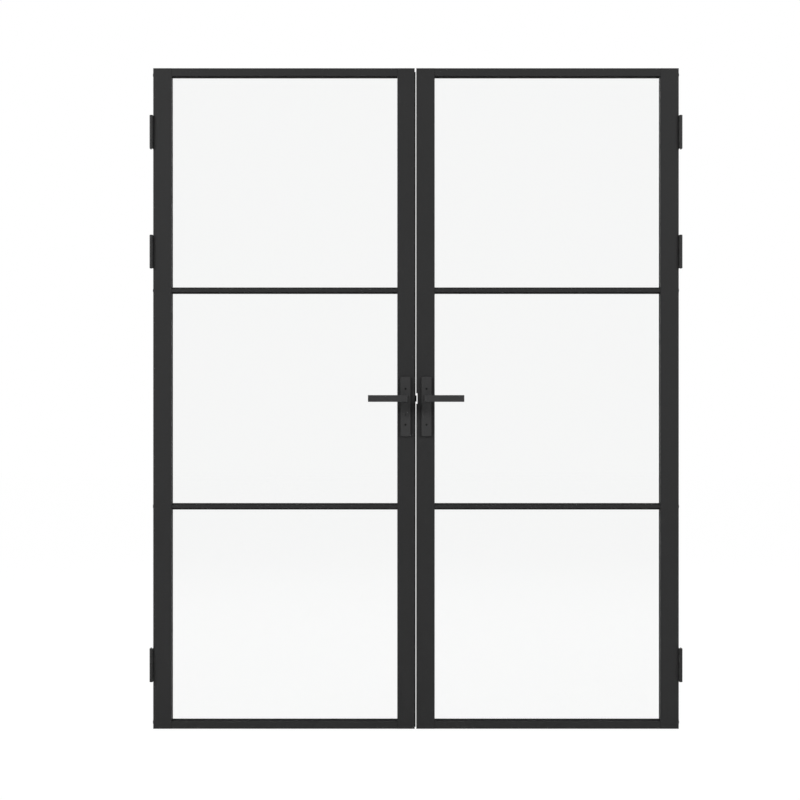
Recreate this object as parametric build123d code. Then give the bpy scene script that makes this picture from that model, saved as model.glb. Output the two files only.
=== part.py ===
from build123d import *
import math
import os

# A pair of glazed double doors: two slim metal leaves hung on butt hinges, each with
# three panes and a lever set. Lengths are in millimetres. X runs across the pair with
# the centre line at zero, +Y is the back, +Z is up, and the leaves' undersides are at
# zero. Everything is drawn for the right-hand leaf and mirrored for the left one.

# Leaves
leaf_height = 2032.0
leaf_width = 807.3
leaf_thickness = 40.0
meeting_gap = 2.1

# Extruded frame members
stile_width = 56.5
wall = 2.5
corner_radius = 0.8
rail_nose_height = 24.0
bar_nose_height = 9.4
bar_web = 3.6
flange_height = 5.3
flange_setback = 11.0
flange_corner_radius = 0.5
back_flange_drop = 2.5

# Glazing
pane_count = 3
glass_thickness = 6.0
gasket_thickness = 3.0
gasket_recess = 0.5
glass_edge_clearance = 1.5
setting_block_length = 80.0
setting_block_inset = 120.0

# Screws that join the stiles to the rails and bars
joint_screw_radius = 2.0
joint_screw_bite = 30.0
rail_screw_level = 20.2
dome_radius = 6.2
dome_height = 1.8
dome_rim = 0.5
dome_edge_margin = 0.8
dome_socket_width = 3.4
dome_socket_depth = 1.2
sunk_head_radius = 3.9
sunk_head_depth = 1.8
port_wall = 2.0
screw_clearance = 0.1

# Butt hinges
hinge_height = 101.6
hinge_end_offset = 196.3
hinge_middle_drop = 367.9
barrel_radius = 5.25
hinge_plate_thickness = 2.5
hinge_plate_reach = 35.5
hinge_corner_radius = 5.0
knuckle_count = 5
knuckle_gap = 0.3
pin_radius = 3.0
pin_clearance = 0.05
pin_cap_radius = 4.4
pin_cap_height = 0.8
hinge_hole_radius = 2.6
hinge_screw_radius = 2.4
hinge_screw_length = 14.0
hinge_sink_depth = 1.8
hinge_hole_spacing_y = 14.0
jamb_hole_spacing_z = 64.0
leaf_hole_spacing_z = 40.0

# Lever sets
lever_level = 1016.0
handle_backset = 31.25
plate_width = 30.5
plate_above = 67.4
plate_below = 116.6
plate_thickness = 8.0
plate_end_rise = 2.0
plate_corner_radius = 2.5
plate_edge_radius = 1.4
plate_screw_above = 29.8
plate_screw_below = 80.6
plate_screw_radius = 2.4
plate_screw_head_radius = 3.1
plate_screw_head_depth = 3.0
plate_screw_sink = 1.2
lever_projection = 52.0
lever_bar_depth = 12.0
lever_bar_height = 20.6
lever_reach = 114.6
lever_heel = 6.5
lever_neck_inner = 6.5
lever_outer_bend = 3.5
lever_inner_bend = 8.0
lever_tip_radius = 3.0
lever_edge_radius = 1.4
lever_plate_gap = 0.5
journal_radius = 9.0
journal_depth = 6.0
journal_clearance = 0.06
spindle_width = 8.0
spindle_clearance = 0.05
spindle_depth_in_neck = 30.0
spindle_passage_radius = 7.0

# Lock in the left leaf, spring cassette in the right one
seal_thickness = 3.0
seal_width = 3.0
seal_nose_radius = 0.75
seal_root_width = 1.4
seal_root_depth = 1.6
seal_edge_inset = 0.6
seal_top_gap = 5.5
seal_clearance = 0.1
faceplate_thickness = 2.5
faceplate_width = 18.0
faceplate_end_length = 17.0
faceplate_clearance = 0.1
case_wall = 1.5
case_depth = 16.0
case_width = 39.5
case_above = 20.0
case_below = 68.0
ear_depth = 6.0
ear_screw_radius = 1.9
ear_screw_head_radius = 3.4
ear_screw_length = 7.5
follower_radius = 8.0
follower_clearance = 0.08
follower_arm_height = 11.4
follower_arm_width = 4.0
inner_plate_depth = 4.0
latch_height = 19.5
latch_depth = 10.0
latch_reach = 2.0
latch_throw = 6.2
latch_nose_radius = 4.0
latch_riser_overlap = 6.0
latch_back_clearance = 0.6
latch_tail_height = 3.0
latch_tail_gap = 0.6
latch_lug_width = 2.0
latch_lug_gap = 0.5
latch_lug_drop = 3.6
latch_guide_gap = 0.25
cylinder_drop = 50.0
cylinder_radius = 8.75
cylinder_clearance = 0.1
cylinder_rim_chamfer = 0.5
cylinder_window_depth = 6.4
cylinder_bridge_gap = 0.3
plug_radius = 5.45
plug_clearance = 0.05
keyway_width = 1.4
keyway_height = 7.0
keyway_depth = 9.0
tongue_reach = 7.5
tongue_width = 4.0
tongue_depth = 5.0
deadbolt_height = 20.0
deadbolt_depth = 10.0
deadbolt_throw = 10.0
deadbolt_sink = 0.3
deadbolt_back_gap = 3.2
deadbolt_strip_gap = 0.55
deadbolt_hook_width = 1.5
deadbolt_notch_play = 0.45
cassette_width = 26.0
cassette_margin = 7.0

# Notch in the right leaf that takes the latch
notch_height = 32.0
notch_depth = 3.7
strike_thickness = 1.5
pocket_clearance = 0.5

# Places worked out from the sizes above
half_thickness = leaf_thickness / 2
leaf_edge = meeting_gap / 2
outer_edge = leaf_edge + leaf_width
glass_start = leaf_edge + stile_width
glass_end = outer_edge - stile_width
pocket_half = glass_thickness / 2 + gasket_thickness
flange_half = half_thickness - flange_setback
rail_height = rail_nose_height + flange_height
bar_height = bar_nose_height + 2 * flange_height
pocket_depth = (bar_height - bar_web) / 2
glass_bite = pocket_depth - glass_edge_clearance
daylight_height = (leaf_height - 2 * rail_height - (pane_count - 1) * bar_height) / pane_count
pane_step = daylight_height + bar_height
pane_starts = [rail_height + i * pane_step for i in range(pane_count)]
bar_levels = [start - bar_height / 2 for start in pane_starts[1:]]
screw_offset = half_thickness - dome_radius - dome_edge_margin
screw_levels = [rail_screw_level, *bar_levels, leaf_height - rail_screw_level]
pin_x = outer_edge + barrel_radius
pin_y = -(half_thickness + barrel_radius)
jamb_face = pin_x + barrel_radius
hinge_top_level = leaf_height - hinge_end_offset
hinge_levels = {
    "upper": hinge_top_level,
    "middle": hinge_top_level - hinge_middle_drop,
    "lower": hinge_end_offset,
}
plate_face = half_thickness + plate_thickness
handle_x = leaf_edge + handle_backset
lock_edge = leaf_edge + seal_thickness
case_front = lock_edge + faceplate_thickness
case_top = lever_level + case_above
case_bottom = lever_level - case_below
cylinder_level = lever_level - cylinder_drop
plate_screw_levels = [lever_level + plate_screw_above, lever_level - plate_screw_below]


def block(x_span, y_span, z_span):
    """A box between two places on each axis."""
    centre = [(low + high) / 2 for low, high in (x_span, y_span, z_span)]
    lengths = [high - low for low, high in (x_span, y_span, z_span)]
    return Pos(*centre) * Box(*lengths)


def cross_rod(x, z, radius, y_start, y_end):
    """A round rod along Y."""
    rod = extrude(Plane.XZ * Pos(x, z) * Circle(radius), amount=y_end - y_start)
    return Pos(0, y_end, 0) * rod


def long_rod(y, z, radius, x_start, x_end):
    """A round rod along X."""
    return extrude(Plane.YZ.offset(x_start) * Pos(y, z) * Circle(radius), amount=x_end - x_start)


def sunk_head(y, z, x_face, radius, shank, depth, into):
    """The cone of a countersunk head whose flat top lies at x_face and points along into."""
    cone = Cone(radius, shank, depth)
    turn = Rot(0, 90 * into, 0)
    return Pos(x_face + into * depth / 2, y, z) * turn * cone


def span(x_span, y_span):
    """A rectangle between two places on each axis."""
    (left, right), (low, high) = x_span, y_span
    return Pos((left + right) / 2, (low + high) / 2) * Rectangle(right - left, high - low)


def stile_section(edge, glazed):
    """Hollow stile with a glazing pocket; edge is the plain side and glazed the glass side."""
    inward = math.copysign(1, edge - glazed)
    pocket_floor = glazed + inward * pocket_depth
    sides = sorted((edge, glazed))
    body = span(sides, (-half_thickness, half_thickness))
    body = fillet(body.vertices(), corner_radius)
    inner_half = half_thickness - wall
    hollow = span((sides[0] + wall, sides[1] - wall), (-inner_half, inner_half))
    backed = sorted((glazed, pocket_floor + inward * wall))
    pocket_walls = span(backed, (-pocket_half - wall, pocket_half + wall))
    pocket = span(sorted((glazed, pocket_floor)), (-pocket_half, pocket_half))
    return body - (hollow - pocket_walls) - pocket


def flanges(nose_edge):
    """The two upstands of a glass pocket above a nose; the back one is lower."""
    root = nose_edge - wall
    front_top = nose_edge + flange_height
    front = span((-flange_half, -pocket_half), (root, front_top))
    back = span((pocket_half, flange_half), (root, front_top - back_flange_drop))
    rounded = [fillet(upstand.vertices(), flange_corner_radius) for upstand in (front, back)]
    return rounded[0] + rounded[1]


def rail_section():
    """Rail seen along X, with its plain edge at zero and its glass pocket upwards."""
    nose = span((-half_thickness, half_thickness), (0, rail_nose_height))
    nose = fillet(nose.vertices(), corner_radius)
    pocket_floor = rail_height - pocket_depth
    pocket = span((-pocket_half, pocket_half), (pocket_floor, rail_height))
    inner_half = half_thickness - wall
    chamber = span((-inner_half, inner_half), (wall, min(pocket_floor, rail_nose_height) - wall))
    for y in (-screw_offset, screw_offset):
        port = Pos(y, rail_screw_level)
        chamber -= port * Circle(joint_screw_radius + screw_clearance + port_wall)
    section = nose - pocket - chamber + flanges(rail_nose_height)
    for y in (-screw_offset, screw_offset):
        section -= Pos(y, rail_screw_level) * Circle(joint_screw_radius + screw_clearance)
    return section


def bar_section():
    """Glazing bar seen along X, with a glass pocket above and below its web."""
    half_nose = bar_nose_height / 2
    nose = span((-half_thickness, half_thickness), (-half_nose, half_nose))
    section = fillet(nose.vertices(), corner_radius)
    for z_span in ((bar_web / 2, half_nose), (-half_nose, -bar_web / 2)):
        section -= span((-pocket_half, pocket_half), z_span)
    upper = flanges(half_nose)
    section += upper + mirror(upper, Plane.XZ)
    for y in (-screw_offset, screw_offset):
        section -= Pos(y, 0) * Circle(joint_screw_radius + screw_clearance)
    return section


def cross_member(section, level):
    """A rail or bar between the stiles."""
    member = extrude(Plane.YZ.offset(glass_start) * section, amount=glass_end - glass_start)
    return Pos(0, 0, level) * member


def joint_screw_places():
    """Where the joint screws lie, seen along X."""
    return [(y, z) for y in (-screw_offset, screw_offset) for z in screw_levels]


def hinge_hole_places(level, spacing_z):
    """Where the four screws of a hinge plate lie, seen along X."""
    plate_middle = (pin_y + hinge_plate_reach - half_thickness) / 2
    return [
        (plate_middle + dy * hinge_hole_spacing_y / 2, level + dz * spacing_z / 2)
        for dy in (-1, 1)
        for dz in (-1, 1)
    ]


def hinge_stile():
    """Outer stile, drilled for the joint screws and the hinge screws."""
    stile = extrude(stile_section(outer_edge, glass_end), amount=leaf_height)
    hole_radius = joint_screw_radius + screw_clearance
    for y, z in joint_screw_places():
        stile -= long_rod(y, z, hole_radius, glass_end, outer_edge)
    for level in hinge_levels.values():
        for y, z in hinge_hole_places(level, leaf_hole_spacing_z):
            stile -= long_rod(y, z, hinge_hole_radius, outer_edge - wall, outer_edge)
    return stile


def plain_meeting_stile(edge):
    """Meeting stile with the holes that both leaves have."""
    stile = extrude(stile_section(edge, glass_start), amount=leaf_height)
    hole_radius = joint_screw_radius + screw_clearance
    for y, z in joint_screw_places():
        stile -= long_rod(y, z, hole_radius, edge, glass_start)
        head_radius = sunk_head_radius + screw_clearance
        stile -= sunk_head(y, z, edge, head_radius, hole_radius, sunk_head_depth, 1)
    for z in plate_screw_levels:
        passage = plate_screw_radius + screw_clearance
        stile -= cross_rod(handle_x, z, passage, -half_thickness, half_thickness)
    for z, radius in (
        (lever_level, spindle_passage_radius),
        (cylinder_level, cylinder_radius + cylinder_clearance),
    ):
        stile -= cross_rod(handle_x, z, radius, -half_thickness, half_thickness)
    return stile


def lock_stile():
    """Meeting stile of the left leaf, cut for the faceplate and grooved for the seal."""
    stile = plain_meeting_stile(lock_edge)
    half_slot = faceplate_width / 2 + faceplate_clearance
    z_span = (
        case_bottom - faceplate_end_length - faceplate_clearance,
        case_top + faceplate_end_length + faceplate_clearance,
    )
    stile -= block((lock_edge, lock_edge + wall), (-half_slot, half_slot), z_span)
    root_middle = half_thickness - seal_edge_inset - seal_width / 2
    root_half = seal_root_width / 2 + seal_clearance
    stile -= block(
        (lock_edge, lock_edge + seal_root_depth + seal_clearance),
        (root_middle - root_half, root_middle + root_half),
        (0, leaf_height),
    )
    return stile


def strike_stile():
    """Meeting stile of the right leaf, notched for the latch and slotted for the deadbolt."""
    stile = plain_meeting_stile(leaf_edge)
    notch_half = notch_height / 2 + strike_thickness
    notch_floor = leaf_edge + notch_depth + strike_thickness
    stile -= block(
        (leaf_edge, notch_floor),
        (-half_thickness, half_thickness),
        (lever_level - notch_half, lever_level + notch_half),
    )
    slot_y = deadbolt_depth / 2 + pocket_clearance
    slot_z = deadbolt_height / 2 + pocket_clearance
    stile -= block(
        (leaf_edge, leaf_edge + wall),
        (-slot_y, slot_y),
        (cylinder_level - slot_z, cylinder_level + slot_z),
    )
    return stile


def strike_plate():
    """Channel that lines the notch."""
    half = notch_height / 2
    floor = leaf_edge + notch_depth
    whole = block(
        (leaf_edge, floor + strike_thickness),
        (-half_thickness, half_thickness),
        (lever_level - half - strike_thickness, lever_level + half + strike_thickness),
    )
    return whole - block(
        (leaf_edge, floor),
        (-half_thickness, half_thickness),
        (lever_level - half, lever_level + half),
    )


def pane(start):
    """Sheet of glass that reaches into the pockets on all four sides."""
    return block(
        (glass_start - glass_bite, glass_end + glass_bite),
        (-glass_thickness / 2, glass_thickness / 2),
        (start - glass_bite, start + daylight_height + glass_bite),
    )


def gasket(start, side):
    """Strip all round one face of a pane; side is -1 at the front and 1 at the back."""
    y_span = sorted((side * glass_thickness / 2, side * pocket_half))
    ring = block(
        (glass_start - glass_bite, glass_end + glass_bite),
        y_span,
        (start - glass_bite, start + daylight_height + glass_bite),
    )
    recess = gasket_recess if side < 0 else gasket_recess + back_flange_drop
    return ring - block(
        (glass_start - gasket_recess, glass_end + gasket_recess),
        y_span,
        (start - recess, start + daylight_height + recess),
    )


def gaskets():
    """Front and back gaskets of every pane."""
    return [gasket(start, side) for start in pane_starts for side in (-1, 1)]


def setting_blocks():
    """Two blocks under each pane that carry its weight."""
    blocks = []
    for start in pane_starts:
        z_span = (start - pocket_depth, start - glass_bite)
        y_span = (-glass_thickness / 2, glass_thickness / 2)
        near = glass_start + setting_block_inset
        far = glass_end - setting_block_inset - setting_block_length
        for x in (near, far):
            blocks.append(block((x, x + setting_block_length), y_span, z_span))
    return blocks


def dome_screw(y, z):
    """Domed joint screw that enters from the outer edge."""
    crown = dome_height - dome_rim
    sphere_radius = (dome_radius**2 + crown**2) / (2 * crown)
    half_angle = math.asin(dome_radius / sphere_radius) / 2
    middle = (
        sphere_radius * math.sin(half_angle),
        dome_height - sphere_radius * (1 - math.cos(half_angle)),
    )
    outline = Polyline((0, dome_height), (0, 0), (dome_radius, 0), (dome_radius, dome_rim))
    outline += ThreePointArc((dome_radius, dome_rim), middle, (0, dome_height))
    head = revolve(Plane.XZ * make_face(outline), Axis.Z)
    socket = RegularPolygon(dome_socket_width / 2, 6, major_radius=False)
    head -= extrude(Pos(0, 0, dome_height - dome_socket_depth) * socket, amount=dome_socket_depth)
    head = Pos(outer_edge, y, z) * Rot(0, 90, 0) * head
    return head + long_rod(y, z, joint_screw_radius, glass_end - joint_screw_bite, outer_edge)


def sunk_screw(y, z, edge):
    """Countersunk joint screw that enters from the meeting edge."""
    head = sunk_head(y, z, edge, sunk_head_radius, joint_screw_radius, sunk_head_depth, 1)
    return head + long_rod(y, z, joint_screw_radius, edge, glass_start + joint_screw_bite)


def joint_screws(edge):
    """All the screws that hold one leaf's frame together."""
    places = joint_screw_places()
    domed = [dome_screw(y, z) for y, z in places]
    return domed + [sunk_screw(y, z, edge) for y, z in places]


def hinge_half(level, plate_near, own_knuckles, countersink, hole_spacing_z):
    """One plate of a butt hinge with its knuckles; countersink is the side of the sinks."""
    half_height = hinge_height / 2
    plate_back = pin_y + hinge_plate_reach
    x_span = (plate_near, plate_near + hinge_plate_thickness)
    plate = block(x_span, (-half_thickness, plate_back), (level - half_height, level + half_height))
    back_edges = plate.edges().filter_by(Axis.X).group_by(Axis.Y)[-1]
    plate = fillet(back_edges, hinge_corner_radius)
    knuckle_height = hinge_height / knuckle_count
    for i in own_knuckles:
        low = level - half_height + i * knuckle_height
        high = low + knuckle_height
        low += knuckle_gap / 2 if i > 0 else 0
        high -= knuckle_gap / 2 if i < knuckle_count - 1 else 0
        plate += block(x_span, (pin_y, -half_thickness), (low, high))
        barrel = Cylinder(barrel_radius, high - low)
        plate += Pos(pin_x, pin_y, (low + high) / 2) * barrel
    plate -= Pos(pin_x, pin_y, level) * Cylinder(pin_radius + pin_clearance, hinge_height)
    sink_face = x_span[1] if countersink > 0 else x_span[0]
    head_radius = hinge_hole_radius + hinge_sink_depth
    sink = (sink_face, head_radius, hinge_hole_radius, hinge_sink_depth, -countersink)
    for y, z in hinge_hole_places(level, hole_spacing_z):
        plate -= long_rod(y, z, hinge_hole_radius, *x_span)
        plate -= sunk_head(y, z, *sink)
    return plate


def leaf_hinge_halves():
    """The three plates on the leaf's edge."""
    own = range(1, knuckle_count, 2)
    levels = hinge_levels.values()
    return [hinge_half(level, outer_edge, own, 1, leaf_hole_spacing_z) for level in levels]


def jamb_hinge_half(level):
    """The plate that goes on the opening's jamb."""
    own = range(0, knuckle_count, 2)
    return hinge_half(level, jamb_face - hinge_plate_thickness, own, -1, jamb_hole_spacing_z)


def hinge_pin(level):
    """Pin with a low button at each end."""
    half_height = hinge_height / 2
    pin = Cylinder(pin_radius, hinge_height)
    for side in (-1, 1):
        cap = Cylinder(pin_cap_radius, pin_cap_height)
        pin += Pos(0, 0, side * (half_height + pin_cap_height / 2)) * cap
    return Pos(pin_x, pin_y, level) * pin


def hinge_screws():
    """Screws from the leaf's hinge plates into the outer stile."""
    screws = []
    face = outer_edge + hinge_plate_thickness
    head_radius = hinge_screw_radius + hinge_sink_depth
    sink = (face, head_radius, hinge_screw_radius, hinge_sink_depth, -1)
    for level in hinge_levels.values():
        for y, z in hinge_hole_places(level, leaf_hole_spacing_z):
            head = sunk_head(y, z, *sink)
            shank = long_rod(y, z, hinge_screw_radius, face - hinge_screw_length, face)
            screws.append(head + shank)
    return screws


def handle_plate():
    """Long plate with arched ends on the front face."""
    half = plate_width / 2
    low = lever_level - plate_below
    high = lever_level + plate_above
    outline = Line((-half, low + plate_end_rise), (-half, high - plate_end_rise))
    outline += ThreePointArc(
        (-half, high - plate_end_rise), (0, high), (half, high - plate_end_rise)
    )
    outline += Line((half, high - plate_end_rise), (half, low + plate_end_rise))
    outline += ThreePointArc((half, low + plate_end_rise), (0, low), (-half, low + plate_end_rise))
    face = make_face(outline)
    face = fillet(face.vertices(), plate_corner_radius)
    plate = extrude(Plane.XZ.offset(half_thickness) * face, amount=plate_thickness)
    plate = fillet(plate.faces().sort_by(Axis.Y)[0].edges(), plate_edge_radius)
    plate = Pos(handle_x, 0, 0) * plate
    for z, radius in (
        (lever_level, journal_radius + journal_clearance),
        (cylinder_level, cylinder_radius + cylinder_clearance),
    ):
        plate -= cross_rod(handle_x, z, radius, -plate_face, -half_thickness)
    rim = Cone(radius, radius + cylinder_rim_chamfer, cylinder_rim_chamfer)
    rim_middle = cylinder_rim_chamfer / 2 - plate_face
    plate -= Pos(handle_x, rim_middle, cylinder_level) * Rot(90, 0, 0) * rim
    for z in plate_screw_levels:
        shank = plate_screw_radius + screw_clearance
        plate -= cross_rod(handle_x, z, shank, -plate_face, -half_thickness)
        head = plate_screw_head_radius + screw_clearance
        head_end = -plate_face + plate_screw_sink + plate_screw_head_depth
        plate -= cross_rod(handle_x, z, head, -plate_face, head_end)
    return plate


def plate_screws():
    """Through bolts that clamp the two plates, with a cheese head at each end."""
    bolts = []
    head_face = plate_face - plate_screw_sink
    head_end = head_face - plate_screw_head_depth
    for z in plate_screw_levels:
        bolt = cross_rod(handle_x, z, plate_screw_radius, -head_face, head_face)
        bolt += cross_rod(handle_x, z, plate_screw_head_radius, -head_face, -head_end)
        bolt += cross_rod(handle_x, z, plate_screw_head_radius, head_end, head_face)
        bolts.append(bolt)
    return bolts


def lever():
    """Front lever: a flat bar bent square towards the door, with a round journal."""
    front = -(plate_face + lever_projection)
    back = front + lever_bar_depth
    root = -(plate_face + lever_plate_gap)
    corners = (
        (-lever_heel, root),
        (-lever_heel, front),
        (lever_reach, front),
        (lever_reach, back),
        (lever_neck_inner, back),
        (lever_neck_inner, root),
    )
    plan = make_face(Polyline(*corners, close=True))
    heel = plan.vertices().sort_by_distance((-lever_heel, front))[0]
    plan = fillet(heel, lever_outer_bend)
    elbow = plan.vertices().sort_by_distance((lever_neck_inner, back))[0]
    plan = fillet(elbow, lever_inner_bend)
    tip = plan.vertices().group_by(Axis.X)[-1]
    plan = fillet(tip, lever_tip_radius)
    bar = extrude(plan, amount=lever_bar_height)
    flats = bar.faces().filter_by(Axis.Z)
    rims = [edge for flat in flats for edge in flat.edges() if edge.center().Y < root - lever_edge_radius]
    bar = fillet(rims, lever_edge_radius)
    bar = Pos(handle_x, 0, lever_level - lever_bar_height / 2) * bar
    bar += cross_rod(handle_x, lever_level, journal_radius, root, root + journal_depth)
    half = spindle_width / 2 + spindle_clearance
    socket = block(
        (handle_x - half, handle_x + half),
        (root - spindle_depth_in_neck, root + journal_depth),
        (lever_level - half, lever_level + half),
    )
    return bar - socket


def spindle():
    """Square bar through the follower into both levers."""
    half = spindle_width / 2
    end = plate_face + spindle_depth_in_neck
    return block(
        (handle_x - half, handle_x + half), (-end, end), (lever_level - half, lever_level + half)
    )


def follower(arm_height):
    """Hub turned by the spindle, with an arm of the given height above its axis."""
    half_case = case_depth / 2
    hub = cross_rod(handle_x, lever_level, follower_radius, -half_case, half_case)
    hub += block(
        (handle_x - follower_arm_width / 2, handle_x + follower_arm_width / 2),
        (-inner_plate_depth / 2, inner_plate_depth / 2),
        (lever_level, lever_level + arm_height),
    )
    half = spindle_width / 2 + spindle_clearance
    return hub - block(
        (handle_x - half, handle_x + half),
        (-half_case, half_case),
        (lever_level - half, lever_level + half),
    )


def shell(x_span, z_span):
    """Thin closed case of the lock's depth."""
    half = case_depth / 2
    whole = block(x_span, (-half, half), z_span)
    return whole - block(
        (x_span[0] + case_wall, x_span[1] - case_wall),
        (case_wall - half, half - case_wall),
        (z_span[0] + case_wall, z_span[1] - case_wall),
    )


def ear_levels():
    """Heights of the two faceplate screws."""
    return [case_top + faceplate_end_length / 2, case_bottom - faceplate_end_length / 2]


def lock_case():
    """Case of the mortice lock, with an ear at each end for the faceplate screws."""
    half = case_depth / 2
    case = shell((case_front, case_front + case_width), (case_bottom, case_top))
    ear_x = (case_front, case_front + ear_depth)
    case += block(ear_x, (-half, half), (case_top, case_top + faceplate_end_length))
    case += block(ear_x, (-half, half), (case_bottom - faceplate_end_length, case_bottom))
    for z in ear_levels():
        case -= long_rod(0, z, ear_screw_radius + screw_clearance, *ear_x)
    for z, height, depth in bolt_slots():
        case -= block(
            (case_front, case_front + case_wall),
            (-depth / 2, depth / 2),
            (z - height / 2, z + height / 2),
        )
    hub_hole = follower_radius + follower_clearance
    case -= cross_rod(handle_x, lever_level, hub_hole, -half, half)
    cylinder_hole = cylinder_radius + cylinder_clearance
    return case - cross_rod(handle_x, cylinder_level, cylinder_hole, -half, half)


def bolt_slots():
    """Level, height and depth of the slots that the two bolts slide through."""
    play = 2 * latch_guide_gap
    return [
        (lever_level, latch_height + play, latch_depth + play),
        (cylinder_level, deadbolt_height + play, deadbolt_depth + play),
    ]


def faceplate():
    """Strip let into the meeting edge that the bolts come out of."""
    half = faceplate_width / 2
    plate = block(
        (lock_edge, lock_edge + faceplate_thickness),
        (-half, half),
        (case_bottom - faceplate_end_length, case_top + faceplate_end_length),
    )
    for z, height, depth in bolt_slots():
        plate -= block(
            (lock_edge, lock_edge + faceplate_thickness),
            (-depth / 2, depth / 2),
            (z - height / 2, z + height / 2),
        )
    hole = ear_screw_radius + screw_clearance
    head = ear_screw_head_radius + screw_clearance
    for z in ear_levels():
        plate -= long_rod(0, z, hole, lock_edge, lock_edge + faceplate_thickness)
        plate -= sunk_head(0, z, lock_edge, head, hole, head - hole, 1)
    return plate


def faceplate_screws():
    """Screws from the faceplate into the lock case's ears."""
    depth = ear_screw_head_radius - ear_screw_radius
    return [
        sunk_head(0, z, lock_edge, ear_screw_head_radius, ear_screw_radius, depth, 1)
        + long_rod(0, z, ear_screw_radius, lock_edge, lock_edge + ear_screw_length)
        for z in ear_levels()
    ]


def latch_bolt():
    """Latch with a rounded nose, a tail over the follower and a lug behind its arm."""
    half = latch_depth / 2
    tip = -latch_reach
    back = handle_x - follower_radius - latch_back_clearance - latch_throw
    z_span = (lever_level - latch_height / 2, lever_level + latch_height / 2)
    head = block((tip, back), (-half, half), z_span)
    nose = head.edges().filter_by(Axis.Z).group_by(Axis.X)[0]
    head = fillet(nose, min(latch_nose_radius, half - screw_clearance))
    tail_low = lever_level + max(
        math.hypot(follower_arm_height, follower_arm_width / 2) + latch_tail_gap,
        latch_height / 2,
    )
    lug_near = handle_x + follower_arm_width / 2 + latch_lug_gap
    plate_y = (-inner_plate_depth / 2, inner_plate_depth / 2)
    riser_low = z_span[1] - latch_riser_overlap
    tail = block((back, lug_near + latch_lug_width), plate_y, (tail_low, tail_low + latch_tail_height))
    tail += block((back - latch_tail_height, back), plate_y, (riser_low, tail_low + latch_tail_height))
    tail += block((lug_near, lug_near + latch_lug_width), plate_y, (tail_low - latch_lug_drop, tail_low))
    return head + tail


def deadbolt():
    """Deadbolt with a strip over the cylinder that the tongue drives."""
    half = deadbolt_depth / 2
    back = handle_x - cylinder_radius - deadbolt_back_gap
    top = cylinder_level + deadbolt_height / 2
    head = block(
        (lock_edge + deadbolt_sink, back), (-half, half), (cylinder_level - deadbolt_height / 2, top)
    )
    strip_height = plug_radius + deadbolt_strip_gap
    strip_low = cylinder_level + strip_height
    tongue_swing = math.hypot(tongue_reach, tongue_width / 2)
    entry = math.acos(strip_height / tongue_swing)
    travel = tongue_swing * math.sin(entry) - deadbolt_throw * entry / math.pi
    notch_middle = handle_x + deadbolt_throw / 2
    notch_half = travel + tongue_width / 2 + deadbolt_notch_play
    notch_near, notch_far = notch_middle - notch_half, notch_middle + notch_half
    plate_y = (-inner_plate_depth / 2, inner_plate_depth / 2)
    strip = block((back, notch_far + deadbolt_hook_width), plate_y, (strip_low, top))
    notch_high = cylinder_level + tongue_swing + deadbolt_strip_gap
    strip -= block((notch_near, notch_far), plate_y, (strip_low, notch_high))
    return head + strip


def lock_cylinder():
    """Round lock cylinder, flush with both plates, with a window for the tongue."""
    body = cross_rod(handle_x, cylinder_level, cylinder_radius, -plate_face, plate_face)
    bore = plug_radius + plug_clearance
    body -= cross_rod(handle_x, cylinder_level, bore, -plate_face, plate_face)
    half_window = cylinder_window_depth / 2
    bridge_top = cylinder_level - plug_radius - cylinder_bridge_gap
    return body - block(
        (handle_x - cylinder_radius, handle_x + cylinder_radius),
        (-half_window, half_window),
        (bridge_top, cylinder_level + cylinder_radius),
    )


def key_plug():
    """Plug with a keyway at each end and the tongue that throws the deadbolt."""
    plug = cross_rod(handle_x, cylinder_level, plug_radius, -plate_face, plate_face)
    plug += block(
        (handle_x, handle_x + tongue_reach),
        (-tongue_depth / 2, tongue_depth / 2),
        (cylinder_level - tongue_width / 2, cylinder_level + tongue_width / 2),
    )
    for y_span in ((-plate_face, keyway_depth - plate_face), (plate_face - keyway_depth, plate_face)):
        plug -= block(
            (handle_x - keyway_width / 2, handle_x + keyway_width / 2),
            y_span,
            (cylinder_level - keyway_height / 2, cylinder_level + keyway_height / 2),
        )
    return plug


def blank_cylinder():
    """Plain round filler in the right leaf's plates, where the left leaf has its lock."""
    return cross_rod(handle_x, cylinder_level, cylinder_radius, -plate_face, plate_face)


def spring_cassette():
    """Case that carries the right leaf's follower, held by the plates' through bolts."""
    half = case_depth / 2
    x_span = (handle_x - cassette_width / 2, handle_x + cassette_width / 2)
    high, low = plate_screw_levels
    case = shell(x_span, (low - cassette_margin, high + cassette_margin))
    case -= cross_rod(handle_x, lever_level, follower_radius + follower_clearance, -half, half)
    case -= cross_rod(handle_x, cylinder_level, cylinder_radius + cylinder_clearance, -half, half)
    for z in plate_screw_levels:
        case -= cross_rod(handle_x, z, plate_screw_radius + screw_clearance, -half, half)
    return case


def meeting_seal():
    """Black seal down the left leaf's meeting edge, near the back."""
    middle = half_thickness - seal_edge_inset - seal_width / 2
    z_span = (0, leaf_height - seal_top_gap)
    strip = block(
        (leaf_edge, lock_edge), (middle - seal_width / 2, middle + seal_width / 2), z_span
    )
    nose = strip.edges().filter_by(Axis.Z).group_by(Axis.X)[0]
    strip = fillet(nose, seal_nose_radius)
    return strip + block(
        (lock_edge, lock_edge + seal_root_depth),
        (middle - seal_root_width / 2, middle + seal_root_width / 2),
        z_span,
    )


def flip_y(shape):
    """The same piece on the other face of the leaf."""
    return shape.mirror(Plane.XZ)


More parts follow.
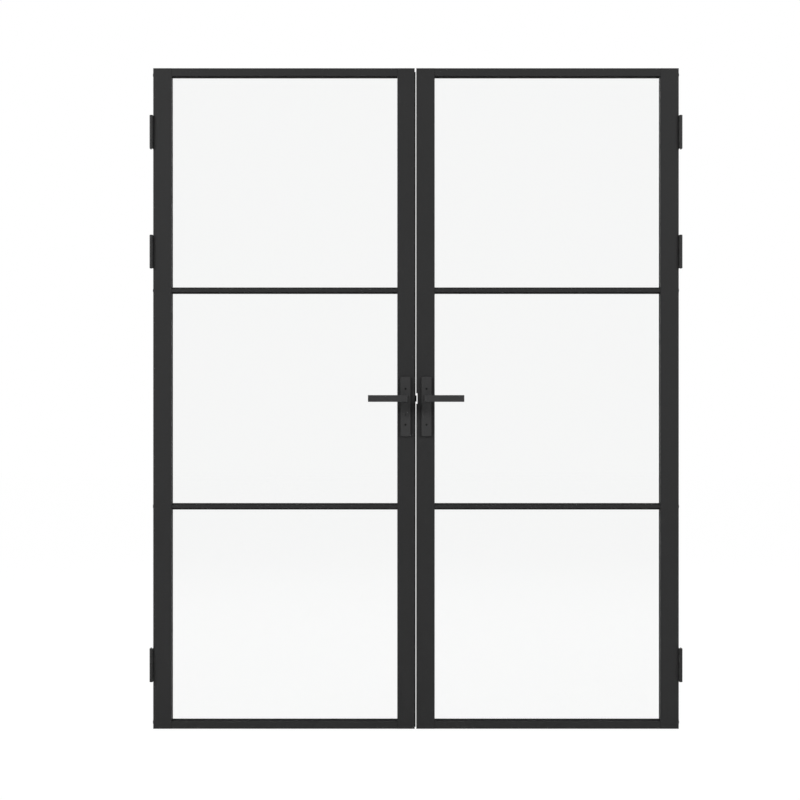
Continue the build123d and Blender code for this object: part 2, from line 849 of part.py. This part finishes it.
def common_pieces():
    """Pieces that both leaves have, drawn for the right-hand leaf."""
    rail = rail_section()
    bar = bar_section()
    pieces = {
        "hinge_stile": hinge_stile(),
        "bottom_rail": cross_member(rail, 0),
        "top_rail": cross_member(rail.mirror(Plane.XZ), leaf_height),
        "gaskets": gaskets(),
        "setting_blocks": setting_blocks(),
        "hinge_leaves": leaf_hinge_halves(),
        "hinge_screws": hinge_screws(),
        "front_plate": handle_plate(),
        "plate_screws": plate_screws(),
        "front_lever": lever(),
        "spindle": spindle(),
    }
    pieces["back_plate"] = flip_y(pieces["front_plate"])
    pieces["back_lever"] = flip_y(pieces["front_lever"])
    for name, level in zip(("lower_bar", "upper_bar"), bar_levels):
        pieces[name] = cross_member(bar, level)
    for name, start in zip(("bottom_pane", "middle_pane", "top_pane"), pane_starts):
        pieces[name] = pane(start)
    return pieces


def right_pieces():
    """Pieces of the right leaf alone."""
    return {
        "meeting_stile": strike_stile(),
        "joint_screws": joint_screws(leaf_edge),
        "strike_plate": strike_plate(),
        "spring_cassette": spring_cassette(),
        "follower": follower(follower_radius),
        "blank_cylinder": blank_cylinder(),
    }


def left_pieces():
    """Pieces of the left leaf alone, drawn as if they were on the right."""
    return {
        "meeting_stile": lock_stile(),
        "joint_screws": joint_screws(lock_edge),
        "meeting_seal": meeting_seal(),
        "lock_case": lock_case(),
        "faceplate": faceplate(),
        "faceplate_screws": faceplate_screws(),
        "follower": follower(follower_arm_height),
        "latch_bolt": latch_bolt(),
        "deadbolt": deadbolt(),
        "lock_cylinder": lock_cylinder(),
        "key_plug": key_plug(),
    }


def save(name, shapes, mirrored):
    """Write one node, mirrored across the centre line for the left-hand side."""
    shapes = shapes if isinstance(shapes, list) else [shapes]
    solids = [solid for shape in shapes for solid in shape.solids()]
    if mirrored:
        solids = [solid.mirror(Plane.YZ) for solid in solids]
    whole = solids[0] if len(solids) == 1 else Compound(children=solids)
    export_step(whole, f"parts/{name}.step")


def main():
    """Build every node of the pair."""
    os.makedirs("parts", exist_ok=True)
    common = common_pieces()
    for side, own in (("left", left_pieces()), ("right", right_pieces())):
        mirrored = side == "left"
        for name, shapes in {**common, **own}.items():
            save(f"{side}_{name}", shapes, mirrored)
        for place, level in hinge_levels.items():
            save(f"{side}_{place}_jamb_plate", jamb_hinge_half(level), mirrored)
    pins = [hinge_pin(level) for level in hinge_levels.values()]
    pins += [pin.mirror(Plane.YZ) for pin in pins]
    save("hinge_pins", pins, False)


main()
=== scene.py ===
import bpy
import bmesh
import math
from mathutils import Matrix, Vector


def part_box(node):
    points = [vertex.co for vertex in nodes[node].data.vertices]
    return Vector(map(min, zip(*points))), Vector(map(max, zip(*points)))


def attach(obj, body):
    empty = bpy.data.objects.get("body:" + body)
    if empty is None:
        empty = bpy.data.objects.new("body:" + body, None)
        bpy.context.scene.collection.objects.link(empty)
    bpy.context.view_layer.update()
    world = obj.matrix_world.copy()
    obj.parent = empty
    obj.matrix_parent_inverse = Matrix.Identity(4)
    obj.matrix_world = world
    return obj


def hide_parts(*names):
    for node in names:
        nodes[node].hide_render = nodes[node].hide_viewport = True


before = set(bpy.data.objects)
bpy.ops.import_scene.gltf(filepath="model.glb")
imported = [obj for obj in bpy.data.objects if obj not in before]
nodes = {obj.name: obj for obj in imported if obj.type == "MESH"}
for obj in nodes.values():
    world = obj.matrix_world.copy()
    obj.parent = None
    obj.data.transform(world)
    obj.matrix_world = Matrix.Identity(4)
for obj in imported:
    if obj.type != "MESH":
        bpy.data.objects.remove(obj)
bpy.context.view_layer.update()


# The photographer's place: square on to the doors at about their middle height, a little
# left of the centre line, far enough back for the leaves to look flat. The lens gives the
# 800 pixel frame its width at that distance.
camera_x = -0.0492
camera_height = 1.0114
camera_distance = 6.0
camera_reach = 100.0
sensor_width_mm = 36.0
photo_width = 800
pixel_size = 0.0030758
focal_pixels = camera_distance / pixel_size
leaf_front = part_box("left_hinge_stile")[0].y

camera_data = bpy.data.cameras.new("camera")
camera_data.sensor_width = sensor_width_mm
camera_data.lens = focal_pixels / photo_width * sensor_width_mm
camera_data.clip_end = camera_reach
camera = bpy.data.objects.new("camera", camera_data)
camera.location = (camera_x, leaf_front - camera_distance, camera_height)
camera.rotation_euler = (math.radians(90), 0, 0)
bpy.context.scene.collection.objects.link(camera)
bpy.context.scene.camera = camera
bpy.context.scene.view_settings.view_transform = "Standard"


# The studio: a surround that shows white and throws little light of its own, a square
# lamp high on either side of the camera, and one behind the doors. The side lamps cast
# the dark bands beside the plates and leave undersides and recesses dark.
white = (1, 1, 1, 1)
surround_light = 0.33
surround_shown = 1.0


def seen_directly(tree):
    """1 for what the camera sees, also through glass, and 0 for light on the doors."""
    rays = tree.nodes.new("ShaderNodeLightPath")
    seen = tree.nodes.new("ShaderNodeMath")
    seen.operation = "MAXIMUM"
    tree.links.new(rays.outputs["Is Camera Ray"], seen.inputs[0])
    tree.links.new(rays.outputs["Is Transmission Ray"], seen.inputs[1])
    return seen.outputs[0]


def ranged(tree, value, before, after):
    """Stretch a value from one range, its lowest and highest, to another."""
    node = tree.nodes.new("ShaderNodeMapRange")
    node.inputs["From Min"].default_value, node.inputs["From Max"].default_value = before
    node.inputs["To Min"].default_value, node.inputs["To Max"].default_value = after
    tree.links.new(value, node.inputs["Value"])
    return node.outputs["Result"]


def lamp(name, place, target, size, power):
    """A square lamp that faces a point and isn't seen itself."""
    data = bpy.data.lights.new(name, "AREA")
    data.size = size
    data.energy = power
    piece = bpy.data.objects.new(name, data)
    piece.location = place
    aim = Vector(target) - Vector(place)
    piece.rotation_euler = aim.to_track_quat("-Z", "Y").to_euler()
    piece.visible_camera = False
    piece.visible_transmission = False
    bpy.context.scene.collection.objects.link(piece)


world = bpy.data.worlds.new("studio")
bpy.context.scene.world = world
world.use_nodes = True
tree = world.node_tree
background = tree.nodes["Background"]
background.inputs["Color"].default_value = white
level = ranged(tree, seen_directly(tree), (0, 1), (surround_light, surround_shown))
tree.links.new(level, background.inputs["Strength"])

lamp("left_lamp", place=(-3.6, -2.9, 2.9), target=(0, 0, 1.5), size=1.6, power=120)
lamp("right_lamp", place=(3.4, -2.9, 2.9), target=(0, 0, 1.5), size=1.6, power=95)
lamp("back_lamp", place=(0, 5.0, 3.6), target=(0, 0, 1.2), size=2.4, power=90)


# The floor that the doors stand over: a wide pale sheet that shows as white as the
# surround and keeps a faint share of its own shade. Light on the doors meets it as a
# plain pale floor.
floor_size = 40.0
floor_gap = 0.006
floor_colour = (0.86, 0.86, 0.86, 1)
floor_roughness = 0.9
floor_glow_share = 0.97
floor_glow_strength = 1.02

half_floor = floor_size / 2
corners = [(-half_floor, -half_floor), (half_floor, -half_floor)]
corners += [(half_floor, half_floor), (-half_floor, half_floor)]
floor_mesh = bpy.data.meshes.new("floor")
floor_mesh.from_pydata([(x, y, -floor_gap) for x, y in corners], [], [(0, 1, 2, 3)])
floor = bpy.data.objects.new("floor", floor_mesh)
bpy.context.scene.collection.objects.link(floor)

pale_floor = bpy.data.materials.new("pale_floor")
pale_floor.use_nodes = True
tree = pale_floor.node_tree
plain = tree.nodes["Principled BSDF"]
plain.inputs["Base Color"].default_value = floor_colour
plain.inputs["Roughness"].default_value = floor_roughness
glow = tree.nodes.new("ShaderNodeEmission")
glow.inputs["Strength"].default_value = floor_glow_strength
shown = tree.nodes.new("ShaderNodeMixShader")
shown.inputs["Fac"].default_value = floor_glow_share
tree.links.new(plain.outputs["BSDF"], shown.inputs[1])
tree.links.new(glow.outputs["Emission"], shown.inputs[2])
surface = tree.nodes.new("ShaderNodeMixShader")
tree.links.new(seen_directly(tree), surface.inputs["Fac"])
tree.links.new(plain.outputs["BSDF"], surface.inputs[1])
tree.links.new(shown.outputs["Shader"], surface.inputs[2])
tree.links.new(surface.outputs["Shader"], tree.nodes["Material Output"].inputs["Surface"])
floor_mesh.materials.append(pale_floor)


# The leaves' own frames: extruded aluminium stiles, rails and bars, cut square, screwed
# together and coated in a fine matt dark grey powder. The coat has a faint orange peel,
# and the die leaves hair lines along each length.
frame_grey = (0.020, 0.020, 0.0203, 1)
frame_finish = {"roughness": 0.58, "grain": 1400, "lines": 0.12, "peel": 0.35}
line_stretch = 0.004
line_detail = 3
line_depth = 0.0001
peel_share = 0.45
peel_detail = 4
peel_depth = 0.0002
cloud_scale = 2.5
cloud_detail = 3
cloud_tones = (0.94, 1.06)
noise_middle = (0.3, 0.7)
roughness_spread = 0.05
coat_specular = 0.25


def noise(tree, scale, detail, stretch=(1, 1, 1)):
    """Noise on the piece's own coordinates, drawn out where stretch is under 1."""
    place = tree.nodes.new("ShaderNodeTexCoord")
    mapping = tree.nodes.new("ShaderNodeMapping")
    mapping.inputs["Scale"].default_value = stretch
    texture = tree.nodes.new("ShaderNodeTexNoise")
    texture.inputs["Scale"].default_value = scale
    texture.inputs["Detail"].default_value = detail
    tree.links.new(place.outputs["Object"], mapping.inputs["Vector"])
    tree.links.new(mapping.outputs["Vector"], texture.inputs["Vector"])
    return texture.outputs["Fac"]


def bumped(tree, height, strength, depth, under=None):
    """A bump on the surface, or on another bump under it."""
    node = tree.nodes.new("ShaderNodeBump")
    node.inputs["Strength"].default_value = strength
    node.inputs["Distance"].default_value = depth
    tree.links.new(height, node.inputs["Height"])
    if under:
        tree.links.new(under, node.inputs["Normal"])
    return node.outputs["Normal"]


def coated(name, colour, roughness, grain, along, lines, peel):
    """A coat over drawn metal: grain in bumps a metre, line and peel strength up to 1."""
    material = bpy.data.materials.new(name)
    material.use_nodes = True
    tree = material.node_tree
    shader = tree.nodes["Principled BSDF"]
    shader.inputs["Specular IOR Level"].default_value = coat_specular

    drawn = [line_stretch if axis == along else 1.0 for axis in "XYZ"]
    line_height = noise(tree, grain, line_detail, drawn)
    peel_height = noise(tree, grain * peel_share, peel_detail)
    cloud = noise(tree, cloud_scale, cloud_detail)

    tint = tree.nodes.new("ShaderNodeMix")
    tint.data_type = "RGBA"
    tint.blend_type = "MULTIPLY"
    tint.inputs["Factor"].default_value = 1.0
    tint.inputs["A"].default_value = colour
    tree.links.new(ranged(tree, cloud, noise_middle, cloud_tones), tint.inputs["B"])
    tree.links.new(tint.outputs["Result"], shader.inputs["Base Color"])

    gloss = (roughness - roughness_spread, roughness + roughness_spread)
    gloss_level = ranged(tree, peel_height, noise_middle, gloss)
    tree.links.new(gloss_level, shader.inputs["Roughness"])

    peel_bump = bumped(tree, peel_height, peel, peel_depth)
    line_bump = bumped(tree, line_height, lines, line_depth, under=peel_bump)
    tree.links.new(line_bump, shader.inputs["Normal"])
    return material


def dress(node_names, material):
    """Give CAD nodes a material on every slot."""
    for name in node_names:
        for slot in nodes[name].material_slots:
            slot.material = material


upright_coat = coated("upright_powder_coat", frame_grey, along="Z", **frame_finish)
level_coat = coated("level_powder_coat", frame_grey, along="X", **frame_finish)
for side in ("left", "right"):
    dress([f"{side}_hinge_stile", f"{side}_meeting_stile"], upright_coat)
    dress([f"{side}_top_rail", f"{side}_bottom_rail"], level_coat)
    dress([f"{side}_upper_bar", f"{side}_lower_bar"], level_coat)


# The panes: clear float glass, three to a leaf. It takes a trace off the white behind it,
# bends a little like any float sheet, and is neutral seen square on. A thin film on it
# takes the edge off its gloss.
glass_tint = (0.945, 0.95, 0.947, 1)
glass_index = 1.5
wave_scale = 3.0
wave_detail = 1
wave_strength = 0.02
wave_depth = 0.002
film_scale = 9.0
film_detail = 5
film_roughness = (0.0, 0.02)

clear_glass = bpy.data.materials.new("clear_glass")
clear_glass.use_nodes = True
tree = clear_glass.node_tree
shader = tree.nodes["Principled BSDF"]
shader.inputs["Base Color"].default_value = glass_tint
shader.inputs["Transmission Weight"].default_value = 1.0
shader.inputs["IOR"].default_value = glass_index
wave = noise(tree, wave_scale, wave_detail)
tree.links.new(bumped(tree, wave, wave_strength, wave_depth), shader.inputs["Normal"])
film = noise(tree, film_scale, film_detail)
tree.links.new(ranged(tree, film, (0, 1), film_roughness), shader.inputs["Roughness"])
for side in ("left", "right"):
    dress([f"{side}_{part}_pane" for part in ("top", "middle", "bottom")], clear_glass)


# Painted shade in the frame's butt joints: where a rail or bar meets a stile, a bead of black
# sealer 0.6 mm wide shows on both faces, and its black also stands in for the shade in the
# hairline joint. It runs over the proud middle of the section, stops short of its edges, and is
# swept along each joint by a small node tree.
joint_shade_black = (0.004, 0.004, 0.004, 1)
bead_radius = 0.0003
bead_sides = 8
bead_stop = 0.0006
flange_height = 0.0053


def coat_node(tree, material):
    """The node that ends a geometry tree and gives its mesh a material."""
    node = tree.nodes.new("GeometryNodeSetMaterial")
    node.inputs["Material"].default_value = material
    return node


def apply_tree(piece, tree, values):
    """Run a geometry tree on a piece with its inputs set, and keep the plain mesh."""
    modifier = piece.modifiers.new("made", "NODES")
    modifier.node_group = tree
    for item in tree.interface.items_tree:
        if item.item_type == "SOCKET" and item.in_out == "INPUT" and item.name in values:
            modifier[item.identifier] = values[item.name]
    graph = bpy.context.evaluated_depsgraph_get()
    mesh = bpy.data.meshes.new_from_object(piece.evaluated_get(graph))
    mesh.validate()
    piece.modifiers.remove(modifier)
    piece.data = mesh


def edge_piece(name, edges):
    """An object made of loose edges, each given by its two ends."""
    mesh = bpy.data.meshes.new(name)
    points = [point for edge in edges for point in edge]
    mesh.from_pydata(points, [(2 * i, 2 * i + 1) for i in range(len(edges))], [])
    piece = bpy.data.objects.new(name, mesh)
    bpy.context.scene.collection.objects.link(piece)
    return piece


# Painted shade: the black of this sealer stands in for the shade in the hairline joints.
joint_shade_sealer = coated(
    "joint_shade_sealer", joint_shade_black, roughness=0.7, grain=2600, along="Z", lines=0.1, peel=0.3
)
bead_tree = bpy.data.node_groups.new("joint_bead", "GeometryNodeTree")
bead_tree.is_modifier = True
bead_tree.interface.new_socket("Geometry", in_out="INPUT", socket_type="NodeSocketGeometry")
bead_tree.interface.new_socket("Radius", in_out="INPUT", socket_type="NodeSocketFloat")
bead_tree.interface.new_socket("Sides", in_out="INPUT", socket_type="NodeSocketInt")
bead_tree.interface.new_socket("Geometry", in_out="OUTPUT", socket_type="NodeSocketGeometry")
given = bead_tree.nodes.new("NodeGroupInput")
path = bead_tree.nodes.new("GeometryNodeMeshToCurve")
round_section = bead_tree.nodes.new("GeometryNodeCurvePrimitiveCircle")
sweep = bead_tree.nodes.new("GeometryNodeCurveToMesh")
sweep.inputs["Fill Caps"].default_value = True
realize = bead_tree.nodes.new("GeometryNodeRealizeInstances")
coat = coat_node(bead_tree, joint_shade_sealer)
made = bead_tree.nodes.new("NodeGroupOutput")
bead_tree.links.new(given.outputs["Geometry"], path.inputs["Mesh"])
bead_tree.links.new(given.outputs["Radius"], round_section.inputs["Radius"])
bead_tree.links.new(given.outputs["Sides"], round_section.inputs["Resolution"])
bead_tree.links.new(path.outputs["Curve"], sweep.inputs["Curve"])
bead_tree.links.new(round_section.outputs["Curve"], sweep.inputs["Profile Curve"])
bead_tree.links.new(sweep.outputs["Mesh"], realize.inputs["Geometry"])
bead_tree.links.new(realize.outputs["Geometry"], coat.inputs["Geometry"])
bead_tree.links.new(coat.outputs["Geometry"], made.inputs["Geometry"])

for side in ("left", "right"):
    joints = []
    for part in ("top_rail", "bottom_rail", "upper_bar", "lower_bar"):
        low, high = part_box(f"{side}_{part}")
        bottom, top = low.z + bead_stop, high.z - bead_stop
        if part != "bottom_rail":
            bottom += flange_height
        if part != "top_rail":
            top -= flange_height
        joints += [((x, y, bottom), (x, y, top)) for x in (low.x, high.x) for y in (low.y, high.y)]
    beads = edge_piece(f"{side}_joint_beads", joints)
    apply_tree(beads, bead_tree, {"Radius": bead_radius, "Sides": bead_sides})
    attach(beads, f"{side}_leaf")


# Gaskets round the panes and the seal down the left leaf's meeting edge: black rubber,
# extruded, with a dull skin and a faint grain. The panes stand on blocks of hard black
# plastic, cut from bar.
rubber_black = (0.008, 0.008, 0.008, 1)
plastic_black = (0.02, 0.02, 0.02, 1)

black_rubber = coated(
    "black_rubber", rubber_black, roughness=0.75, grain=2200, along="Z", lines=0.15, peel=0.25
)
block_plastic = coated(
    "block_plastic", plastic_black, roughness=0.55, grain=1800, along="X", lines=0.05, peel=0.2
)
dress(["left_gaskets", "right_gaskets", "left_meeting_seal"], black_rubber)
dress(["left_setting_blocks", "right_setting_blocks"], block_plastic)


# The lever sets: cast and coated in the same grey, rubbed smoother than the frame, so
# they read a touch lighter. The long plates are pressed from the same metal.
lever_grey = (0.036, 0.036, 0.0364, 1)

satin_coat = coated(
    "satin_lever_coat", lever_grey, roughness=0.46, grain=2600, along="X", lines=0.05, peel=0.20
)
plate_coat = coated(
    "satin_plate_coat", lever_grey, roughness=0.50, grain=2600, along="Z", lines=0.05, peel=0.22
)
for side in ("left", "right"):
    dress([f"{side}_front_lever", f"{side}_back_lever"], satin_coat)
    dress([f"{side}_front_plate", f"{side}_back_plate"], plate_coat)


# The hinges: steel butts with turned barrels, dark coated, a little glossier where the
# knuckles are turned. The pins and their caps are of the same finish.
hinge_grey = (0.024, 0.024, 0.0243, 1)

hinge_coat = coated(
    "hinge_coat", hinge_grey, roughness=0.48, grain=2400, along="Z", lines=0.08, peel=0.10
)
jamb_plates = [name for name in nodes if name.endswith("jamb_plate")]
dress([*jamb_plates, "left_hinge_leaves", "right_hinge_leaves", "hinge_pins"], hinge_coat)


# The joint screws that hold the stiles to the rails: blackened steel, with a domed socket
# head on the outer edge and a flush one on the meeting edge.
screw_black = (0.02, 0.02, 0.02, 1)

screw_coat = coated(
    "blackened_screw", screw_black, roughness=0.42, grain=3000, along="X", lines=0.05, peel=0.12
)
dress(["left_joint_screws", "right_joint_screws"], screw_coat)


# Screws with a driving recess: the through bolts of the long plates have a hexagon
# socket in a cheese head, sunk in the plate. The hinge and faceplate screws are
# countersunk, with a cross recess. One node tree turns a head, cuts its recess, adds the
# shank and sets a copy on every point, facing the way the point says.
# Painted shade, in part: the plate bolts are black oxide, and their near-black, darker than the
# other blackened screws, also stands in for the shade in their sunk counterbores and sockets.
oxide_and_recess_shade_black = (0.006, 0.006, 0.006, 1)
screw_sides = 32
hexagon_sides = 6
same_corner = 0.000001
forward = (0, -1, 0)
backward = (0, 1, 0)
bolt_head_depth = 0.003
bolt_front, bolt_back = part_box("left_plate_screws")
bolt_half_length = (bolt_back.y - bolt_front.y) / 2
plate_bolt = {
    "Head Radius": 0.0031, "Foot Radius": 0.0031, "Head Depth": bolt_head_depth,
    "Recess Width": 0.0034, "Recess Depth": 0.0022,
    "Shank Radius": 0.0024, "Shank Length": bolt_half_length - bolt_head_depth,
}
hinge_screw = {
    "Head Radius": 0.0042, "Foot Radius": 0.0024, "Head Depth": 0.0018,
    "Recess Width": 0.0009, "Recess Length": 0.0042, "Recess Depth": 0.0012,
    "Shank Radius": 0.0024, "Shank Length": 0.0122,
}
case_screw = {
    "Head Radius": 0.0034, "Foot Radius": 0.0019, "Head Depth": 0.0015,
    "Recess Width": 0.0008, "Recess Length": 0.0034, "Recess Depth": 0.001,
    "Shank Radius": 0.0019, "Shank Length": 0.006,
}


def screw_tree(name, recess, sizes, material):
    """Tree that makes screws, with an input for each of these sizes; recess is hexagon
    or cross."""
    tree = bpy.data.node_groups.new(name, "GeometryNodeTree")
    tree.is_modifier = True
    tree.interface.new_socket("Geometry", in_out="INPUT", socket_type="NodeSocketGeometry")
    for size in sizes:
        tree.interface.new_socket(size, in_out="INPUT", socket_type="NodeSocketFloat")
    tree.interface.new_socket("Geometry", in_out="OUTPUT", socket_type="NodeSocketGeometry")
    given = tree.nodes.new("NodeGroupInput").outputs

    def scaled(value, factor):
        node = tree.nodes.new("ShaderNodeMath")
        node.operation = "MULTIPLY"
        node.inputs[1].default_value = factor
        tree.links.new(value, node.inputs[0])
        return node.outputs[0]

    def added(first, second):
        node = tree.nodes.new("ShaderNodeMath")
        tree.links.new(first, node.inputs[0])
        tree.links.new(second, node.inputs[1])
        return node.outputs[0]

    def shifted(shape, height):
        place = tree.nodes.new("ShaderNodeCombineXYZ")
        tree.links.new(height, place.inputs["Z"])
        node = tree.nodes.new("GeometryNodeTransform")
        tree.links.new(place.outputs[0], node.inputs["Translation"])
        tree.links.new(shape, node.inputs["Geometry"])
        return node.outputs["Geometry"]

    head = tree.nodes.new("GeometryNodeMeshCone")
    head.inputs["Vertices"].default_value = screw_sides
    tree.links.new(given["Head Radius"], head.inputs["Radius Top"])
    tree.links.new(given["Foot Radius"], head.inputs["Radius Bottom"])
    tree.links.new(given["Head Depth"], head.inputs["Depth"])
    shank = tree.nodes.new("GeometryNodeMeshCylinder")
    shank.inputs["Vertices"].default_value = screw_sides
    tree.links.new(given["Shank Radius"], shank.inputs["Radius"])
    tree.links.new(given["Shank Length"], shank.inputs["Depth"])
    shank_middle = added(scaled(given["Shank Length"], -0.5), scaled(given["Head Depth"], -1))

    cut = tree.nodes.new("GeometryNodeMeshBoolean")
    cut.operation = "DIFFERENCE"
    tree.links.new(shifted(head.outputs["Mesh"], scaled(given["Head Depth"], -1)), cut.inputs[0])
    if recess == "hexagon":
        tool = tree.nodes.new("GeometryNodeMeshCylinder")
        tool.inputs["Vertices"].default_value = hexagon_sides
        tree.links.new(scaled(given["Recess Width"], 1 / math.sqrt(3)), tool.inputs["Radius"])
        tree.links.new(scaled(given["Recess Depth"], 2), tool.inputs["Depth"])
        tree.links.new(tool.outputs["Mesh"], cut.inputs[1])
    else:
        arms = (("Recess Length", "Recess Width"), ("Recess Width", "Recess Length"))
        for along, across in arms:
            size = tree.nodes.new("ShaderNodeCombineXYZ")
            tree.links.new(given[along], size.inputs["X"])
            tree.links.new(given[across], size.inputs["Y"])
            tree.links.new(scaled(given["Recess Depth"], 2), size.inputs["Z"])
            tool = tree.nodes.new("GeometryNodeMeshCube")
            tree.links.new(size.outputs[0], tool.inputs["Size"])
            tree.links.new(tool.outputs["Mesh"], cut.inputs[1])

    whole = tree.nodes.new("GeometryNodeJoinGeometry")
    tree.links.new(cut.outputs[0], whole.inputs[0])
    tree.links.new(shifted(shank.outputs["Mesh"], shank_middle), whole.inputs[0])
    facing = tree.nodes.new("GeometryNodeInputNamedAttribute")
    facing.data_type = "FLOAT_VECTOR"
    facing.inputs["Name"].default_value = "facing"
    turn = tree.nodes.new("FunctionNodeAlignRotationToVector")
    turn.axis = "Z"
    tree.links.new(facing.outputs["Attribute"], turn.inputs["Vector"])
    copies = tree.nodes.new("GeometryNodeInstanceOnPoints")
    tree.links.new(given["Geometry"], copies.inputs["Points"])
    tree.links.new(whole.outputs[0], copies.inputs["Instance"])
    tree.links.new(turn.outputs["Rotation"], copies.inputs["Rotation"])
    realize = tree.nodes.new("GeometryNodeRealizeInstances")
    tree.links.new(copies.outputs["Instances"], realize.inputs["Geometry"])
    coat = coat_node(tree, material)
    tree.links.new(realize.outputs["Geometry"], coat.inputs["Geometry"])
    made = tree.nodes.new("NodeGroupOutput")
    tree.links.new(coat.outputs["Geometry"], made.inputs["Geometry"])
    return tree


def loose_boxes(node_name):
    """The low corner, the middle and the high corner of each solid in a CAD node."""
    source = nodes[node_name]
    shape = bmesh.new()
    shape.from_mesh(source.data)
    shape.transform(source.matrix_world)
    bmesh.ops.remove_doubles(shape, verts=shape.verts, dist=same_corner)
    boxes, seen = [], set()
    for start in shape.verts:
        if start in seen:
            continue
        island, front = {start}, [start]
        while front:
            vertex = front.pop()
            for edge in vertex.link_edges:
                other = edge.other_vert(vertex)
                if other not in island:
                    island.add(other)
                    front.append(other)
        seen |= island
        low = Vector([min(vertex.co[axis] for vertex in island) for axis in range(3)])
        high = Vector([max(vertex.co[axis] for vertex in island) for axis in range(3)])
        boxes.append((low, (low + high) / 2, high))
    shape.free()
    return boxes


def screws(name, body, node_name, places, tree, sizes):
    """Screws at places, each a point and the way its head faces, in the stead of a node."""
    mesh = bpy.data.meshes.new(name)
    mesh.from_pydata([place for place, way in places], [], [])
    facing = mesh.attributes.new("facing", "FLOAT_VECTOR", "POINT")
    for entry, (place, way) in zip(facing.data, places):
        entry.vector = way
    piece = bpy.data.objects.new(name, mesh)
    bpy.context.scene.collection.objects.link(piece)
    apply_tree(piece, tree, sizes)
    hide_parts(node_name)
    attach(piece, body)


# The plate bolts' near-black is partly their own black oxide and partly painted shade of the
# counterbores.
dark_socket = coated(
    "dark_plate_screw", oxide_and_recess_shade_black, roughness=0.6, grain=3000, along="X", lines=0.05, peel=0.12
)
socket_tree = screw_tree("socket_screw", "hexagon", plate_bolt, dark_socket)
cross_tree = screw_tree("cross_screw", "cross", hinge_screw, screw_coat)

for side in ("left", "right"):
    body, node_name = f"{side}_leaf", f"{side}_plate_screws"
    places = []
    for low, middle, high in loose_boxes(node_name):
        places.append(((middle.x, low.y, middle.z), forward))
        places.append(((middle.x, high.y, middle.z), backward))
    screws(f"{side}_plate_bolts", body, node_name, places, socket_tree, plate_bolt)

for side, outward in (("left", -1), ("right", 1)):
    body, node_name = f"{side}_leaf", f"{side}_hinge_screws"
    places = []
    for low, middle, high in loose_boxes(node_name):
        head_x = high.x if outward > 0 else low.x
        places.append(((head_x, middle.y, middle.z), (outward, 0, 0)))
    screws(f"{side}_hinge_plate_screws", body, node_name, places, cross_tree, hinge_screw)

places = []
for low, middle, high in loose_boxes("left_faceplate_screws"):
    places.append(((high.x, middle.y, middle.z), (1, 0, 0)))
screws("left_case_screws", "left_leaf", "left_faceplate_screws", places, cross_tree, case_screw)


# Lock parts: ground steel inside the stiles. The bolts, faceplate and strike are
# blackened like the screws, and the cylinders are coated like the plates.
steel_grey = (0.42, 0.42, 0.41, 1)

ground_steel = coated(
    "ground_steel", steel_grey, roughness=0.34, grain=1800, along="Z", lines=0.25, peel=0.05
)
ground_steel.node_tree.nodes["Principled BSDF"].inputs["Metallic"].default_value = 1.0
turned_parts = ["left_spindle", "right_spindle", "left_follower", "right_follower"]
dress([*turned_parts, "left_lock_case", "right_spring_cassette"], ground_steel)
dress(["left_faceplate", "left_latch_bolt", "left_deadbolt", "right_strike_plate"], screw_coat)
dress(["left_lock_cylinder", "right_blank_cylinder", "left_key_plug"], plate_coat)
